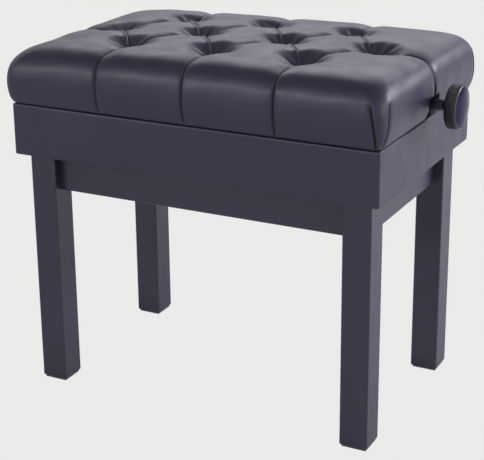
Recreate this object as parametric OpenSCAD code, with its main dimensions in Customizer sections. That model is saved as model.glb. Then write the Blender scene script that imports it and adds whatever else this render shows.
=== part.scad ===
// Adjustable piano bench: a square-legged leg frame, a screw-driven scissor lift,
// and an upholstered seat whose skirt slides down over the leg frame.
// X runs along the bench, Y from front to back, Z up. The floor is Z = 0 and the
// origin is under the middle of the bench. Everything is drawn with the seat at its lowest.

/* [Seat] */
// Length over the skirt
seat_l = 550; // [500:1:680]
// Depth over the skirt
seat_w = 342; // [280:1:420]
// Height of the cushion from its bottom edge to its crown
cushion_h = 90; // [80:1:110]
// How far the cushion's widest line stands outside the skirt
cushion_bulge = 9.5; // [4:0.5:16]
// How far the cushion pulls in at its bottom edge
cushion_tuck = 4; // [3:0.5:5]
// Leather thickness
leather_t = 1.2; // [0.8:0.1:1.6]
// Seat board thickness
board_t = 12; // [9:1:15]
// Height of the wooden frame under the seat board
frame_h = 42; // [40:1:52]
// Thickness of that frame's sides
frame_t = 20; // [16:1:24]

/* [Tufting] */
// Distance between tufts along a row
tuft_pitch = 132; // [100:1:140]
// Distance of the front and back rows from the middle row
tuft_row = 86; // [60:1:90]
// How far a tuft is pulled below the crown
tuft_depth = 17; // [10:1:24]

/* [Skirt] */
// Height of the skirt
skirt_h = 74; // [56:1:90]
// Thickness of the skirt boards
skirt_t = 12; // [9:1:16]
// Running gap between the skirt and the legs
skirt_gap = 1.8; // [1:0.1:4]

/* [Leg frame] */
// Side of a square leg
leg = 40; // [33:1:50]
// Length of a leg without its foot pad
leg_h = 416; // [340:1:500]
// Height of the rails
rail_h = 123; // [100:1:150]
// Thickness of the rails
rail_t = 18; // [14:1:20]
// How far a rail's outer face sits behind the leg's
rail_recess = 14; // [6:1:16]
// Thickness of the felt foot pads
pad_t = 3; // [2:0.5:6]

/* [Lift] */
// How far the seat rises
lift = 65; // [40:1:66]
// Height between the lower and upper pivots with the seat down
fold_h = 70; // [60:1:80]
// Width of a scissor arm
arm_w = 24; // [20:1:26]
// Thickness of a scissor arm
arm_t = 4; // [3:0.5:6]
// Diameter of the pivot pins
pin_d = 8; // [6:0.5:10]
// Sheet thickness of the steel channels
steel_t = 3; // [2:0.5:4]
// Diameter of the adjusting screw
shaft_d = 12; // [10:0.5:15]
// Height of the screw's axis above the cushion's bottom edge
shaft_rise = 21; // [18:0.5:24]

/* [Knobs] */
// Diameter over the ribs
knob_d = 60; // [44:1:75]
// Width of the ribbed rim
knob_t = 17; // [14:1:24]
// Length of bare screw between the cushion and a knob
knob_gap = 20.5; // [8:0.5:40]
// Number of ribs
knob_ribs = 64; // [36:2:72]

/* [Hidden] */

// Finish colours
lacquer = [0.16, 0.15, 0.19];
leather = [0.22, 0.21, 0.26];
raw_wood = [0.72, 0.58, 0.40];
zinc = [0.62, 0.63, 0.65];
black_steel = [0.10, 0.10, 0.11];
black_plastic = [0.05, 0.05, 0.06];
foam_tint = [0.88, 0.86, 0.74];
felt_tint = [0.08, 0.08, 0.08];
nylon = [0.75, 0.73, 0.66];

// Small clearances, shared by everything that fits
fit_gap = 0.2;      // round soft parts, and bolts in clearance holes
run_gap = 0.05;     // shaft in its bushes, pins in the arms that turn on them
link_gap = 1.0;     // loose pivots of the scissor, whose pins also slide
side_gap = 2;       // between neighbouring plates of the scissor
rest_gap = 5;       // between the leg tops and the seat frame
edge_cut = 1.2;     // chamfer along the legs and rails

// Leg frame
leg_top = leg_h + pad_t;
frame_x = seat_l / 2 - leather_t - skirt_t - skirt_gap;  // outer faces of the legs
frame_y = seat_w / 2 - leather_t - skirt_t - skirt_gap;
rail_in_x = frame_x - rail_recess - rail_t;              // inner faces of the rails
rail_in_y = frame_y - rail_recess - rail_t;
leg_in = leg - rail_recess - rail_t;                     // how far a leg shows inside the rails
dowel_d = 8;
dowel_l = 36;
dowel_step = dowel_d + 4;                                // the two rails' dowels miss each other
batten_dowel = 12;                                       // length of a batten's dowel in the batten
pad_inset = 2;

// Corner blocks lie across the inner corners, bolted to the legs
block_near = 2 * leg_in + 3;
block_deep = 26;
block_reach = block_near + block_deep;
block_h = 56;
block_drop = 22;                                         // below the leg tops
bolt_d = 8;
bolt_in_leg = 22;
bolt_stand = 14;
washer_d = 20;
washer_t = 1.6;
nut_w = 13;
nut_t = 6.5;

// Seat heights
seat_z = leg_top + rest_gap;
board_z = seat_z + frame_h;
shaft_z = seat_z + shaft_rise;
frame_inset = 6;                                         // seat frame behind the skirt's face
frame_clip = 4;
seat_frame_x = seat_l / 2 - frame_inset;
seat_frame_y = seat_w / 2 - frame_inset;

// Scissor lift, a pair of crossed arms at the front and one at the back
web_drop = arm_w / 2 + steel_t + 1;                      // channel web beyond a pivot's axis
flange_w = 22;
slot_end = 6;
low_z = shaft_z - fold_h;                                // axis of the lower pivots
mech_x = rail_in_x - block_reach - 8;                    // half length of the lower channels
pivot_x = mech_x - 26;                                   // pivots from the middle, seat down
arm_l = sqrt(pow(2 * pivot_x, 2) + pow(fold_h, 2));
arm_angle = asin(fold_h / arm_l);
arm_angle_up = asin((fold_h + lift) / arm_l);
nut_travel = arm_l * (cos(arm_angle) - cos(arm_angle_up));
web_y = rail_in_y - flange_w - 8;                        // outer face of the channel webs
outer_arm_y = web_y - steel_t - side_gap;                // outer face of the outer arms
inner_arm_y = outer_arm_y - arm_t - side_gap;            // outer face of the inner arms
pin_head_d = 1.7 * pin_d;
pin_head_t = 2;
upper_x = pivot_x + 62;                                  // half length of the upper channels
batten_w = 40;
batten_t = 18;
batten_x = mech_x - batten_w / 2 + 6;
batten_z = low_z - web_drop - batten_t;
lower_bolt_d = 6;

// Adjusting screw
cushion_x = seat_l / 2 + cushion_bulge;
knob_x = cushion_x + knob_gap;                           // back of a knob's rim
knob_dome = 3;
hub_d = shaft_d + 5;
hub_t = 2;
thread_shown = 7;                                        // bare thread between sleeve and hub
rib_deep = 1.2;
shaft_in_knob = knob_t - 4;
bush_wall = 2;
bush_flange = 4;
bush_stand = 3;
collar_t = 8;
cross_x = upper_x - 8;                                   // outer face of the upper cross angles
cross_bar_w = 20;
notch_w = shaft_d + 10;
notch_top = shaft_rise + shaft_d / 2 + 4;

// Skirt brackets
bracket_leaf = 20;
bracket_w = 24;
bracket_t = 2;
bracket_low = 12;                                        // screw hole down the skirt's leaf
bracket_in = 8;                                          // screw hole along the frame's leaf
bracket_spread_x = 0.5 * frame_x;
bracket_spread_y = 0.42 * frame_y;
screw_d = 3.6;
screw_hole_d = 4;
screw_head_d = 7.6;
screw_head_t = 2;
screw_bite = 9;                                          // depth of a screw in the wood

$fn = 48;

// ---- Shared shapes ----

module at_corners(x, y) {
    for (sx = [-1, 1], sy = [-1, 1])
        translate([sx * x, sy * y, 0])
            children();
}

// Rectangle with its corners cut off at 45 degrees
module cut_rect(l, w, c) {
    polygon([
        [c, 0], [l - c, 0], [l, c], [l, w - c],
        [l - c, w], [c, w], [0, w - c], [0, c],
    ]);
}

// Square bar standing on its end, with every edge cut
module cut_post(side, h, c) {
    intersection() {
        translate([-side / 2, -side / 2, 0])
            linear_extrude(h)
                cut_rect(side, side, c);
        translate([-side / 2, side / 2, 0])
            rotate([90, 0, 0])
                linear_extrude(side)
                    cut_rect(side, h, c);
        translate([-side / 2, -side / 2, 0])
            rotate([90, 0, 90])
                linear_extrude(side)
                    cut_rect(side, h, c);
    }
}

module round_rect(l, w, r) {
    hull()
        for (sx = [-1, 1], sy = [-1, 1])
            translate([sx * (l / 2 - r), sy * (w / 2 - r)])
                circle(r = r, $fn = 32);
}

module block(l, w, h) {
    translate([-l / 2, -w / 2, 0])
        cube([l, w, h]);
}

// Cylinder along Y from y0 to y1
module rod_y(d, y0, y1) {
    translate([0, y1, 0])
        rotate([90, 0, 0])
            cylinder(d = d, h = y1 - y0);
}

// Cylinder along X from x0 to x1
module rod_x(d, x0, x1) {
    translate([x0, 0, 0])
        rotate([0, 90, 0])
            cylinder(d = d, h = x1 - x0);
}

// Puts what is drawn at the back at the front as well, mirrored
module both_sides() {
    for (m = [0, 1])
        mirror([0, m, 0])
            children();
}

// Puts what is drawn at the right end at the left end as well, mirrored
module both_ends() {
    for (m = [0, 1])
        mirror([m, 0, 0])
            children();
}

// ---- Leg frame ----

// Places of the dowels that join a rail's two ends to the legs
dowel_z = [leg_top - 0.22 * rail_h, leg_top - 0.78 * rail_h];
rail_mid_x = rail_in_x + rail_t / 2;
rail_mid_y = rail_in_y + rail_t / 2;

module dowels() {
    half = dowel_l / 2;
    for (z = dowel_z) {
        for (sx = [-1, 1], sy = [-1, 1]) {
            translate([sx * (frame_x - leg), sy * rail_mid_y, z])
                rod_x(dowel_d, -half, half);
            translate([sx * rail_mid_x, sy * (frame_y - leg), z + dowel_step])
                rod_y(dowel_d, -half, half);
        }
    }
    for (sx = [-1, 1])
        both_sides()
            translate([sx * batten_x, rail_in_y, batten_z + batten_t / 2])
                rod_y(dowel_d, -batten_dowel, rail_t / 2);
}

// Hanger bolts run along the corner's diagonal from the leg through the corner block
bolt_z = leg_top - block_drop - block_h / 2;
bolt_end = (block_reach - 2 * leg_in) / sqrt(2) + bolt_stand;

module on_diagonals() {
    for (sx = [-1, 1], sy = [-1, 1])
        translate([sx * (rail_in_x - leg_in), sy * (rail_in_y - leg_in), bolt_z])
            rotate([0, 0, atan2(-sy, -sx)])
                children();
}

module leg_part(sx, sy) {
    color(lacquer)
        difference() {
            translate([sx * (frame_x - leg / 2), sy * (frame_y - leg / 2), pad_t])
                cut_post(leg, leg_h, edge_cut);
            dowels();
            on_diagonals()
                rod_x(bolt_d, -bolt_in_leg, leg);
        }
}

module rail_body(l) {
    rotate([90, 0, 90])
        translate([-rail_t / 2, 0, -l / 2])
            linear_extrude(l)
                cut_rect(rail_t, rail_h, edge_cut);
}

module long_rail(sy) {
    color(lacquer)
        difference() {
            translate([0, sy * rail_mid_y, leg_top - rail_h])
                rail_body(2 * (frame_x - leg));
            dowels();
        }
}

module short_rail(sx) {
    color(lacquer)
        difference() {
            translate([sx * rail_mid_x, 0, leg_top - rail_h])
                rotate([0, 0, 90])
                    rail_body(2 * (frame_y - leg));
            dowels();
        }
}

module rail_dowels() {
    color(raw_wood)
        dowels();
}

module corner_blocks() {
    color(raw_wood)
        difference() {
            for (sx = [-1, 1], sy = [-1, 1])
                scale([sx, sy, 1])
                    translate([rail_in_x, rail_in_y, leg_top - block_drop - block_h])
                        linear_extrude(block_h)
                            polygon([
                                [-block_near, 0], [-block_reach, 0],
                                [0, -block_reach], [0, -block_near],
                            ]);
            on_diagonals()
                rod_x(bolt_d + 2 * fit_gap, 0, bolt_end + 10);
        }
}

module hanger_bolts() {
    color(zinc)
        on_diagonals()
            rod_x(bolt_d, -bolt_in_leg, bolt_end);
}

// Washer and hexagon nut, as one flanged nut
module hanger_nuts() {
    face = (block_reach - 2 * leg_in) / sqrt(2);
    color(zinc)
        on_diagonals()
            difference() {
                union() {
                    rod_x(washer_d, face, face + washer_t);
                    translate([face + washer_t, 0, 0])
                        rotate([0, 90, 0])
                            cylinder(d = nut_w, h = nut_t, $fn = 6);
                }
                rod_x(bolt_d + 2 * run_gap, face - 1, face + washer_t + nut_t + 1);
            }
}

module foot_pads() {
    color(felt_tint)
        at_corners(frame_x - leg / 2, frame_y - leg / 2)
            linear_extrude(pad_t)
                translate([-leg / 2 + pad_inset, -leg / 2 + pad_inset])
                    cut_rect(leg - 2 * pad_inset, leg - 2 * pad_inset, edge_cut);
}

module batten(sx) {
    color(raw_wood)
        difference() {
            translate([sx * batten_x, 0, batten_z])
                block(batten_w, 2 * rail_in_y, batten_t);
            dowels();
            at_corners(batten_x, web_y + flange_w / 2)
                translate([0, 0, batten_z - 1])
                    cylinder(d = lower_bolt_d + 2 * fit_gap, h = batten_t + 2);
        }
}

// ---- Lower frame of the lift ----

// Slot for a sliding pin, rounded at both ends, through a channel's web
module slide_slot(z) {
    slot_h = pin_d + 2 * link_gap;
    x0 = pivot_x - nut_travel - slot_end;
    x1 = pivot_x + slot_end;
    for (x = [x0, x1])
        translate([x, 0, z])
            rod_y(slot_h, web_y - steel_t - 1, web_y + 1);
    translate([x0, web_y - steel_t - 1, z - slot_h / 2])
        cube([x1 - x0, steel_t + 2, slot_h]);
}

// Front channel of a frame: web with the pivot hole and the slot, and a flange
module lower_channel() {
    bottom = low_z - web_drop;
    color(black_steel)
        difference() {
            union() {
                translate([-mech_x, web_y - steel_t, bottom])
                    cube([2 * mech_x, steel_t, 2 * web_drop]);
                translate([-mech_x, web_y - steel_t, bottom])
                    cube([2 * mech_x, flange_w + steel_t, steel_t]);
            }
            translate([-pivot_x, 0, low_z])
                rod_y(pin_d, web_y - steel_t - 1, web_y + 1);
            slide_slot(low_z);
            for (sx = [-1, 1])
                translate([sx * batten_x, web_y + flange_w / 2, bottom - 1])
                    cylinder(d = lower_bolt_d + 2 * fit_gap, h = steel_t + 2);
        }
}

// Flat bars that tie the two lower channels together
module lower_cross_bars() {
    color(black_steel)
        for (sx = [-1, 1])
            translate([sx * batten_x, 0, low_z - web_drop])
                block(cross_bar_w, 2 * (web_y - steel_t), steel_t);
}

module lower_frame_bolts() {
    top = low_z - web_drop + steel_t;
    head_t = 3;
    color(zinc)
        at_corners(batten_x, web_y + flange_w / 2)
            translate([0, 0, batten_z]) {
                translate([0, 0, -head_t])
                    cylinder(d = 2.2 * lower_bolt_d, h = head_t);
                cylinder(d = lower_bolt_d, h = top - batten_z + 7);
            }
}

module lower_frame_nuts() {
    top = low_z - web_drop + steel_t;
    color(zinc)
        at_corners(batten_x, web_y + flange_w / 2)
            translate([0, 0, top])
                difference() {
                    cylinder(d = 11.5, h = 5, $fn = 6);
                    translate([0, 0, -1])
                        cylinder(d = lower_bolt_d + 2 * run_gap, h = 7);
                }
}

// A headed pin along Y whose shank spans y0 to y1, with a head at each end
module headed_pin(y0, y1) {
    rod_y(pin_d, y0, y1);
    rod_y(pin_head_d, y0 - pin_head_t, y0);
    rod_y(pin_head_d, y1, y1 + pin_head_t);
}

module lower_pivot_pins() {
    color(zinc)
        both_sides()
            translate([-pivot_x, 0, low_z])
                headed_pin(outer_arm_y - arm_t - run_gap, web_y);
}

// ---- Scissor arms ----

// Flat arm with round ends, from its pivot at the origin, lying along +X
module arm(outer_y, far_hole_d, mid_hole_d) {
    difference() {
        union() {
            translate([0, outer_y - arm_t, -arm_w / 2])
                cube([arm_l, arm_t, arm_w]);
            rod_y(arm_w, outer_y - arm_t, outer_y);
            translate([arm_l, 0, 0])
                rod_y(arm_w, outer_y - arm_t, outer_y);
        }
        rod_y(pin_d + 2 * run_gap, outer_y - arm_t - 1, outer_y + 1);
        translate([arm_l / 2, 0, 0])
            rod_y(mid_hole_d, outer_y - arm_t - 1, outer_y + 1);
        translate([arm_l, 0, 0])
            rod_y(far_hole_d, outer_y - arm_t - 1, outer_y + 1);
    }
}

module outer_arm() {
    color(black_steel)
        translate([-pivot_x, 0, low_z])
            rotate([0, -arm_angle, 0])
                arm(outer_arm_y, pin_d + 2 * run_gap, pin_d);
}

module inner_arm() {
    color(black_steel)
        translate([-pivot_x, 0, shaft_z])
            rotate([0, arm_angle, 0])
                arm(inner_arm_y, pin_d, pin_d + 2 * link_gap);
}

module center_rivets() {
    color(zinc)
        both_sides()
            translate([0, 0, low_z + fold_h / 2])
                headed_pin(inner_arm_y - arm_t - run_gap, outer_arm_y);
}

module lower_slide_rod() {
    end = web_y + 2;
    color(zinc)
        translate([pivot_x, 0, low_z])
            headed_pin(-end, end);
}

// Cross bar on the outer arms' top ends: the screw runs through its middle
module nut_bar() {
    bar_h = shaft_d + 8;
    bar_l = shaft_d + 10;
    bar_y = inner_arm_y;
    end = web_y + 2;
    color(zinc)
        translate([pivot_x, 0, shaft_z])
            difference() {
                union() {
                    translate([-bar_l / 2, -bar_y, -bar_h / 2])
                        cube([bar_l, 2 * bar_y, bar_h]);
                    headed_pin(-end, end);
                }
                rod_x(shaft_d + 2 * link_gap, -bar_l, bar_l);
            }
}

// ---- Adjusting screw and knobs ----

module screw_shaft() {
    end = knob_x + shaft_in_knob;
    color(black_steel)
        translate([0, 0, shaft_z])
            rod_x(shaft_d, -end, end);
}

// Set collars inside the cross angles, and a slim sleeve where the screw leaves the seat
module shaft_collars() {
    collar_end = cross_x - steel_t - bush_flange - fit_gap;
    color(black_steel)
        both_ends()
            translate([0, 0, shaft_z])
                difference() {
                    union() {
                        rod_x(shaft_d + 10, collar_end - collar_t, collar_end);
                        rod_x(shaft_d + 3, seat_frame_x + 2, knob_x - hub_t - thread_shown);
                    }
                    rod_x(shaft_d, collar_end - collar_t - 1, knob_x);
                }
}

// Outline of the ribbed rim: a sharp rib and a valley in turn
module rib_outline() {
    points = 2 * knob_ribs;
    polygon([
        for (i = [0:points - 1])
            let (r = knob_d / 2 - (i % 2) * rib_deep, a = 360 * i / points)
                [r * cos(a), r * sin(a)]
    ]);
}

module knob(sx) {
    color(black_plastic)
        translate([sx * knob_x, 0, shaft_z])
            rotate([0, sx * 90, 0])
                difference() {
                    union() {
                        linear_extrude(knob_t)
                            rib_outline();
                        translate([0, 0, -hub_t])
                            cylinder(d = hub_d, h = hub_t);
                    }
                    translate([0, 0, -hub_t - 1])
                        cylinder(d = shaft_d, h = hub_t + 1 + shaft_in_knob);
                }
}

// Domed disc on a knob's face, turned from the outline of a shallow arc
module knob_cap(sx) {
    cap_r = knob_d / 2 - rib_deep - 1;
    arc_r = (pow(cap_r, 2) + pow(knob_dome, 2)) / (2 * knob_dome);
    arc_a = asin(cap_r / arc_r);
    steps = 8;
    color(black_plastic)
        translate([sx * (knob_x + knob_t), 0, shaft_z])
            rotate([0, sx * 90, 0])
                rotate_extrude()
                    polygon([
                        [0, 0],
                        for (i = [steps:-1:0])
                            let (a = arc_a * i / steps)
                                [arc_r * sin(a), arc_r * (cos(a) - 1) + knob_dome]
                    ]);
}

// ---- Seat ----

// Levels of the cushion's outer form: outset from the skirt, height, corner radius
pad_profile = [
    [-cushion_tuck, 0, 5],
    [0.6 * cushion_bulge, 14, 12],
    [cushion_bulge, 38, 18],
    [cushion_bulge - 2, 56, 22],
    [-4, cushion_h - 16, 26],
    [-20, cushion_h - 7, 30],
    [-48, cushion_h - 1.5, 36],
    [-80, cushion_h, 36],
];

// The cushion's outer form shrunk by inset, with its foot carried down by below
module pad_form(inset, below) {
    shrink = (cushion_h - inset) / cushion_h;
    slab = 0.01;
    foot = pad_profile[0];
    hull() {
        for (p = pad_profile)
            translate([0, 0, seat_z + p[1] * shrink])
                linear_extrude(slab)
                    pad_outline(p, inset);
        translate([0, 0, seat_z - below])
            linear_extrude(slab)
                pad_outline(foot, inset);
    }
}

module pad_outline(level, inset) {
    round_rect(
        seat_l + 2 * (level[0] - inset),
        seat_w + 2 * (level[0] - inset),
        level[2] - inset
    );
}

// Opening over each end of the screw, from the cushion's bottom edge up
module shaft_notches(x0, x1, w, top) {
    for (sx = [-1, 1])
        translate([sx * (x0 + x1) / 2, 0, seat_z - 1])
            block(x1 - x0, w, top + 1);
}

module cushion_cover() {
    color(leather)
        difference() {
            pad_form(0, 0);
            pad_form(leather_t, 1);
            shaft_notches(seat_frame_x, cushion_x + 5, notch_w, notch_top);
        }
}

// Middles of the tufts: three in the front and back rows, four between them
tufts = [
    for (row = [-1:1], i = [0:2 + (row == 0 ? 1 : 0)])
        [(i - (row == 0 ? 1.5 : 1)) * tuft_pitch, row * tuft_row]
];

module at_tufts() {
    for (t = tufts)
        translate([t[0], t[1], 0])
            children();
}

tie_d = 2;
anchor_d = 8;
anchor_t = 2;

module foam_top() {
    color(foam_tint)
        difference() {
            intersection() {
                pad_form(leather_t + fit_gap, 0);
                translate([0, 0, board_z + board_t])
                    block(2 * seat_l, 2 * seat_w, cushion_h);
            }
            at_tufts()
                translate([0, 0, board_z])
                    cylinder(d = tie_d + 2 * fit_gap, h = cushion_h, $fn = 16);
        }
}

// One strip of the foam around the seat frame: the part of the form inside a box
module foam_strip(x0, x1, y0, y1) {
    color(foam_tint)
        difference() {
            intersection() {
                pad_form(leather_t + fit_gap, 0);
                translate([x0, y0, seat_z + 1])
                    cube([x1 - x0, y1 - y0, frame_h + board_t - 1]);
            }
            shaft_notches(seat_frame_x - 1, cushion_x + 5, notch_w, notch_top);
        }
}

// Outline of the seat board and the frame under it, with clipped corners
module seat_outline() {
    translate([-seat_frame_x, -seat_frame_y])
        cut_rect(2 * seat_frame_x, 2 * seat_frame_y, frame_clip);
}

module seat_board() {
    color(raw_wood)
        difference() {
            translate([0, 0, board_z])
                linear_extrude(board_t)
                    seat_outline();
            at_tufts()
                translate([0, 0, board_z - 1]) {
                    cylinder(d = tie_d + 2 * fit_gap, h = board_t + 2);
                    cylinder(d = anchor_d + 2 * fit_gap, h = anchor_t + 1);
                }
            at_channel_screws()
                cylinder(d = screw_d, h = steel_t + screw_bite);
        }
}

module seat_frame_long(sy) {
    color(raw_wood)
        difference() {
            intersection() {
                translate([0, 0, seat_z])
                    linear_extrude(frame_h)
                        seat_outline();
                translate([0, sy * (seat_frame_y - frame_t / 2), seat_z])
                    block(2 * seat_l, frame_t, frame_h);
            }
            bracket_screw_shanks();
        }
}

module seat_frame_short(sx) {
    color(raw_wood)
        difference() {
            translate([sx * (seat_frame_x - frame_t / 2), 0, seat_z])
                block(frame_t, 2 * (seat_frame_y - frame_t), frame_h);
            shaft_notches(seat_frame_x - frame_t - 1, seat_frame_x + 1, notch_w, notch_top);
            bracket_screw_shanks();
        }
}

module tuft_ties() {
    start = board_z + anchor_t;
    color(leather)
        at_tufts()
            translate([0, 0, start])
                cylinder(d = tie_d, h = seat_z + cushion_h - tuft_depth - start);
}

// Discs let into the underside of the seat board, one at the lower end of each tie
module tuft_anchors() {
    color(black_plastic)
        at_tufts()
            translate([0, 0, board_z])
                cylinder(d = anchor_d, h = anchor_t);
}

// ---- Skirt ----

skirt_z = seat_z - skirt_h;
skirt_out_x = seat_l / 2 - leather_t;                    // outer faces of the boards
skirt_out_y = seat_w / 2 - leather_t;
skirt_in_x = skirt_out_x - skirt_t;
skirt_in_y = skirt_out_y - skirt_t;

module skirt_long(sy) {
    color(raw_wood)
        difference() {
            translate([0, sy * (skirt_out_y - skirt_t / 2), skirt_z + leather_t])
                block(2 * skirt_out_x, skirt_t, skirt_h - 2 * leather_t);
            bracket_screw_shanks();
        }
}

module skirt_short(sx) {
    color(raw_wood)
        difference() {
            translate([sx * (skirt_out_x - skirt_t / 2), 0, skirt_z + leather_t])
                block(skirt_t, 2 * skirt_in_y, skirt_h - 2 * leather_t);
            bracket_screw_shanks();
        }
}

// Leather over the skirt's outside and round its top and bottom edges
module skirt_cover() {
    color(leather)
        difference() {
            translate([-seat_l / 2, -seat_w / 2, skirt_z])
                linear_extrude(skirt_h)
                    cut_rect(seat_l, seat_w, leather_t);
            translate([0, 0, skirt_z - 1])
                block(2 * skirt_in_x, 2 * skirt_in_y, skirt_h + 2);
            translate([0, 0, skirt_z + leather_t])
                block(2 * skirt_out_x, 2 * skirt_out_y, skirt_h - 2 * leather_t);
        }
}

// Steel angle in the corner at the origin: one leaf down the skirt, one under the frame
module bracket() {
    difference() {
        union() {
            translate([-bracket_w / 2, 0, -bracket_leaf])
                cube([bracket_w, bracket_t, bracket_leaf]);
            translate([-bracket_w / 2, 0, -bracket_t])
                cube([bracket_w, bracket_leaf, bracket_t]);
        }
        translate([0, 0, -bracket_low])
            rod_y(screw_hole_d, -1, bracket_t + 1);
        translate([0, bracket_in, -bracket_t - 1])
            cylinder(d = screw_hole_d, h = bracket_t + 2);
    }
}

// Shanks of all the bracket screws: one of each pair into the skirt, one up into the frame
module bracket_screw_shanks() {
    at_brackets() {
        translate([0, 0, -bracket_low])
            rod_y(screw_d, -screw_bite, bracket_t);
        translate([0, bracket_in, -bracket_t])
            cylinder(d = screw_d, h = bracket_t + screw_bite);
    }
}

module bracket_screw_heads() {
    at_brackets() {
        translate([0, 0, -bracket_low])
            rod_y(screw_head_d, bracket_t, bracket_t + screw_head_t);
        translate([0, bracket_in, -bracket_t - screw_head_t])
            cylinder(d = screw_head_d, h = screw_head_t);
    }
}

module at_brackets() {
    for (m = [0, 1], s = [-1, 1]) {
        mirror([0, m, 0])
            translate([s * bracket_spread_x, -skirt_in_y, seat_z])
                children();
        mirror([m, 0, 0])
            translate([-skirt_in_x, s * bracket_spread_y, seat_z])
                rotate([0, 0, -90])
                    children();
    }
}

module skirt_brackets() {
    color(zinc)
        at_brackets()
            bracket();
}

module bracket_screws() {
    color(zinc) {
        bracket_screw_shanks();
        bracket_screw_heads();
    }
}

// ---- Upper frame of the lift ----

// Undersides of the upper channels' flanges, where the screws into the seat board go
flange_screw_x = [-upper_x + 15, -pivot_x / 3, pivot_x / 3, upper_x - 15];

module at_channel_screws() {
    both_sides()
        for (x = flange_screw_x)
            translate([x, web_y + flange_w / 2, board_z - steel_t])
                children();
}

module upper_channel() {
    bottom = shaft_z - web_drop;
    color(black_steel)
        difference() {
            union() {
                translate([-upper_x, web_y - steel_t, bottom])
                    cube([2 * upper_x, steel_t, board_z - bottom]);
                translate([-upper_x, web_y - steel_t, board_z - steel_t])
                    cube([2 * upper_x, flange_w + steel_t, steel_t]);
            }
            translate([-pivot_x, 0, shaft_z])
                rod_y(pin_d, web_y - steel_t - 1, web_y + 1);
            slide_slot(shaft_z);
            at_channel_screws()
                translate([0, 0, -1])
                    cylinder(d = screw_hole_d, h = steel_t + 2);
        }
}

// Angles between the channels, each with a hole for the screw's bush
module upper_cross_angles() {
    half = web_y - steel_t;
    color(black_steel)
        both_ends()
            difference() {
                union() {
                    translate([cross_x - steel_t, -half, shaft_z - web_drop])
                        cube([steel_t, 2 * half, board_z - shaft_z + web_drop]);
                    translate([cross_x - flange_w, -half, board_z - steel_t])
                        cube([flange_w, 2 * half, steel_t]);
                }
                translate([0, 0, shaft_z])
                    rod_x(shaft_d + 2 * bush_wall, cross_x - steel_t - 1, cross_x + 1);
            }
}

// Flanged nylon bushes pressed into the cross angles
module shaft_bushes() {
    x0 = cross_x - steel_t;
    color(nylon)
        both_ends()
            translate([0, 0, shaft_z])
                difference() {
                    union() {
                        rod_x(shaft_d + 2 * bush_wall, x0, cross_x + bush_stand);
                        rod_x(shaft_d + 2 * bush_wall + 8, x0 - bush_flange, x0);
                    }
                    rod_x(shaft_d + 2 * run_gap, x0 - bush_flange - 1, cross_x + bush_stand + 1);
                }
}

// Pins that hang the inner arms from the upper channels, with a spacer between
module upper_pivot_pins() {
    color(zinc)
        both_sides()
            translate([-pivot_x, 0, shaft_z]) {
                headed_pin(inner_arm_y - arm_t - run_gap, web_y);
                rod_y(pin_head_d, inner_arm_y + run_gap, web_y - steel_t);
            }
}

// Screws that hold the upper channels to the seat board
module channel_screws() {
    color(zinc)
        at_channel_screws() {
            cylinder(d = screw_d, h = steel_t + screw_bite);
            translate([0, 0, -screw_head_t])
                cylinder(d = screw_head_d, h = screw_head_t);
        }
}

// ---- Nodes ----

leg_part(-1, -1);  // leg_front_left
leg_part(1, -1);  // leg_front_right
leg_part(-1, 1);  // leg_back_left
leg_part(1, 1);  // leg_back_right
long_rail(-1);  // rail_front
long_rail(1);  // rail_back
short_rail(-1);  // rail_left
short_rail(1);  // rail_right
rail_dowels();
corner_blocks();
hanger_bolts();
hanger_nuts();
foot_pads();
batten(-1);  // batten_left
batten(1);  // batten_right
mirror([0, 1, 0]) lower_channel();  // lower_channel_front
lower_channel();  // lower_channel_back
lower_cross_bars();
lower_frame_bolts();
lower_frame_nuts();
lower_pivot_pins();
mirror([0, 1, 0]) outer_arm();  // outer_arm_front
outer_arm();  // outer_arm_back
center_rivets();
mirror([0, 1, 0]) inner_arm();  // inner_arm_front
inner_arm();  // inner_arm_back
lower_slide_rod();
nut_bar();
screw_shaft();
shaft_collars();
knob(-1);  // knob_left
knob(1);  // knob_right
knob_cap(-1);  // knob_cap_left
knob_cap(1);  // knob_cap_right
seat_board();
seat_frame_long(-1);  // seat_frame_front
seat_frame_long(1);  // seat_frame_back
seat_frame_short(-1);  // seat_frame_left
seat_frame_short(1);  // seat_frame_right
foam_top();
foam_strip(-seat_l, seat_l, -seat_w, -seat_frame_y - fit_gap);  // foam_front
foam_strip(-seat_l, seat_l, seat_frame_y + fit_gap, seat_w);  // foam_back
foam_strip(-seat_l, -seat_frame_x - fit_gap, -seat_frame_y, seat_frame_y);  // foam_left
foam_strip(seat_frame_x + fit_gap, seat_l, -seat_frame_y, seat_frame_y);  // foam_right
cushion_cover();
tuft_ties();
tuft_anchors();
skirt_long(-1);  // skirt_front
skirt_long(1);  // skirt_back
skirt_short(-1);  // skirt_left
skirt_short(1);  // skirt_right
skirt_cover();
skirt_brackets();
bracket_screws();
mirror([0, 1, 0]) upper_channel();  // upper_channel_front
upper_channel();  // upper_channel_back
upper_cross_angles();
channel_screws();
upper_pivot_pins();
shaft_bushes();
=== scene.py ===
"""Looks of the adjustable piano bench: leather, lacquer, knobs, studio light and camera.

Everything is in metres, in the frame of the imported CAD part: X along the bench, Y from
front to back, Z up from the floor. Lengths are written in millimetres times MM.
"""

import math

import bpy
import numpy as np
from mathutils import Matrix, Vector


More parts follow.
